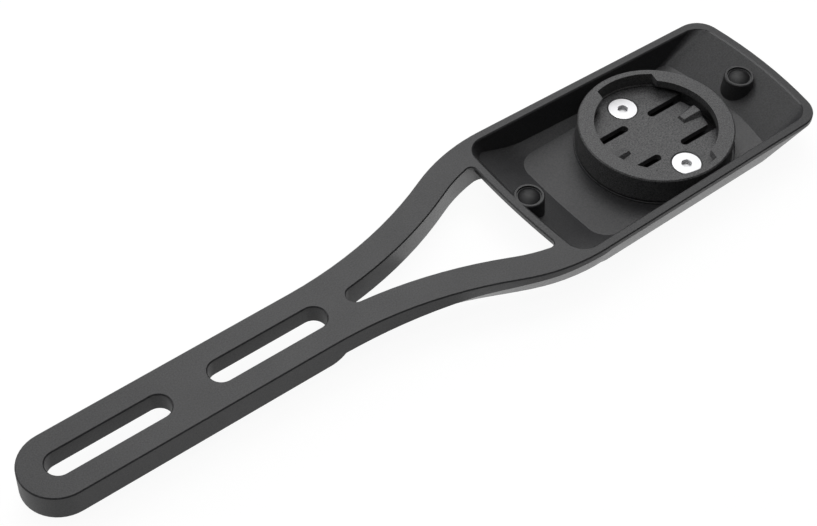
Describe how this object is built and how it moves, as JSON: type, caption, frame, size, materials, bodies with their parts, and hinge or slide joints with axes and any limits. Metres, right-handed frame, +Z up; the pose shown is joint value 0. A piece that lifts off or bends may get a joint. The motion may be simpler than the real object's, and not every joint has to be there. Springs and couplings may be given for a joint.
{
  "type": "bike computer mount",
  "caption": "Out-front bicycle computer mount: slotted arm splitting into a fork that carries an open tray with a screwed-in quarter-turn socket",
  "frame": {"origin": "centre of the two slots in the arm, on the arm's top face", "axes": "+X along the arm to the tray, +Y to the tray's left, +Z up, out of the socket's open face"},
  "size_m": [0.2009, 0.044, 0.0102],
  "materials": {
    "body_plastic": "charcoal moulded plastic with a fine grain",
    "socket_plastic": "dark grey moulded plastic, slightly lighter and speckled",
    "screw_steel": "bright turned steel",
    "bumper_rubber": "black rubber"
  },
  "bodies": {
    "root": {"mount_body": "body_plastic", "socket": "socket_plastic", "socket_screw_left": "screw_steel", "socket_screw_right": "screw_steel", "bumper_near": "bumper_rubber", "bumper_far": "bumper_rubber"}
  },
  "joints": []
}
